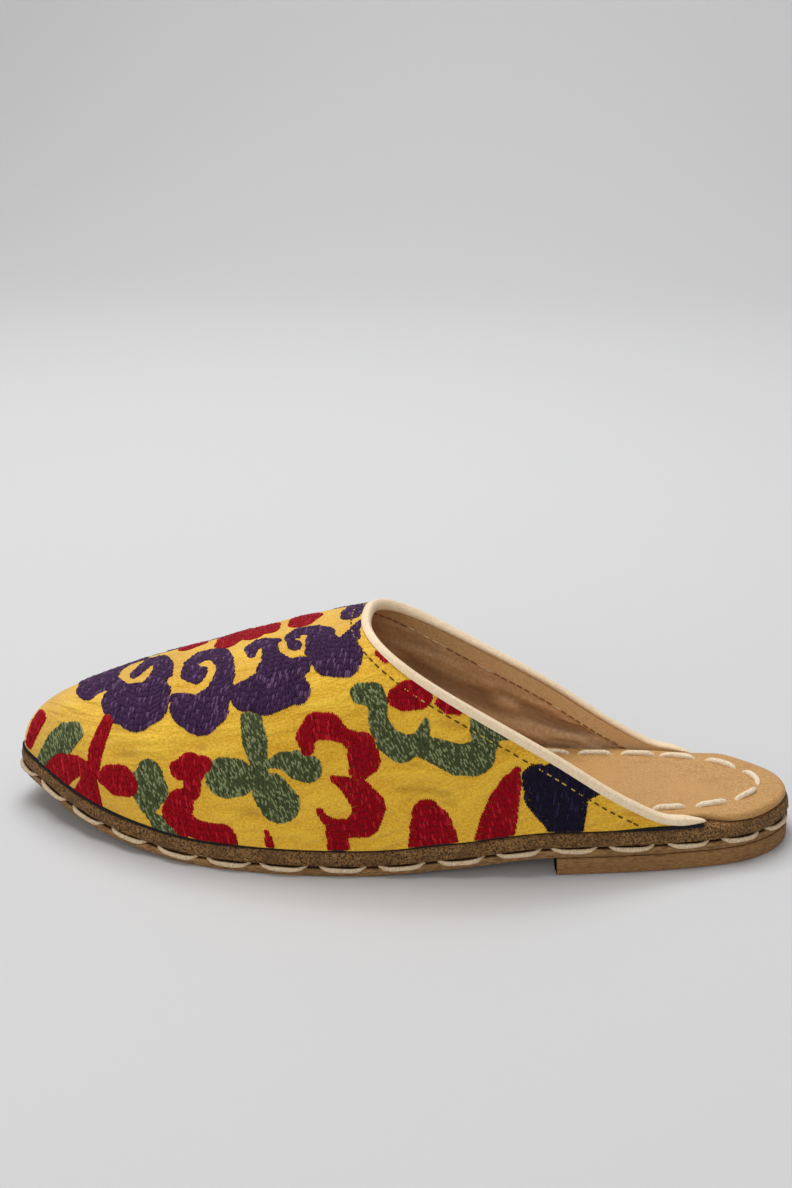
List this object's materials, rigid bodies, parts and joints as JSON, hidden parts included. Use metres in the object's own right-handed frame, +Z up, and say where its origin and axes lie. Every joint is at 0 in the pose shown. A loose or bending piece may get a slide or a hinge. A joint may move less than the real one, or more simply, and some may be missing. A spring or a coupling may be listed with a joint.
{
  "type": "mule",
  "caption": "Open-backed flat leather mule with an embroidered cloth vamp, bound topline, stitched suede-edged sole and low heel lift.",
  "frame": {"origin": "on the floor, under the middle of the shoe's bounding box", "axes": "+X to the toe, +Y to the wearer's left (the outer, little-toe side), +Z up"},
  "size_m": [0.2656, 0.0904, 0.077],
  "materials": {
    "lift_leather": "raw stacked edge, waxed",
    "outsole_leather": "smooth vegetable-tanned",
    "midsole_suede": "fuzzy suede edge with waxed running stitch",
    "insole_leather": "smooth vegetable-tanned with running stitch",
    "vamp_cloth": "woven cotton with chain-stitch embroidery",
    "binding_leather": "soft natural leather, rolled"
  },
  "bodies": {
    "root": {"heel_lift": "lift_leather", "outsole": "outsole_leather", "midsole": "midsole_suede", "insole": "insole_leather", "upper": "vamp_cloth", "collar_binding": "binding_leather"}
  },
  "joints": []
}
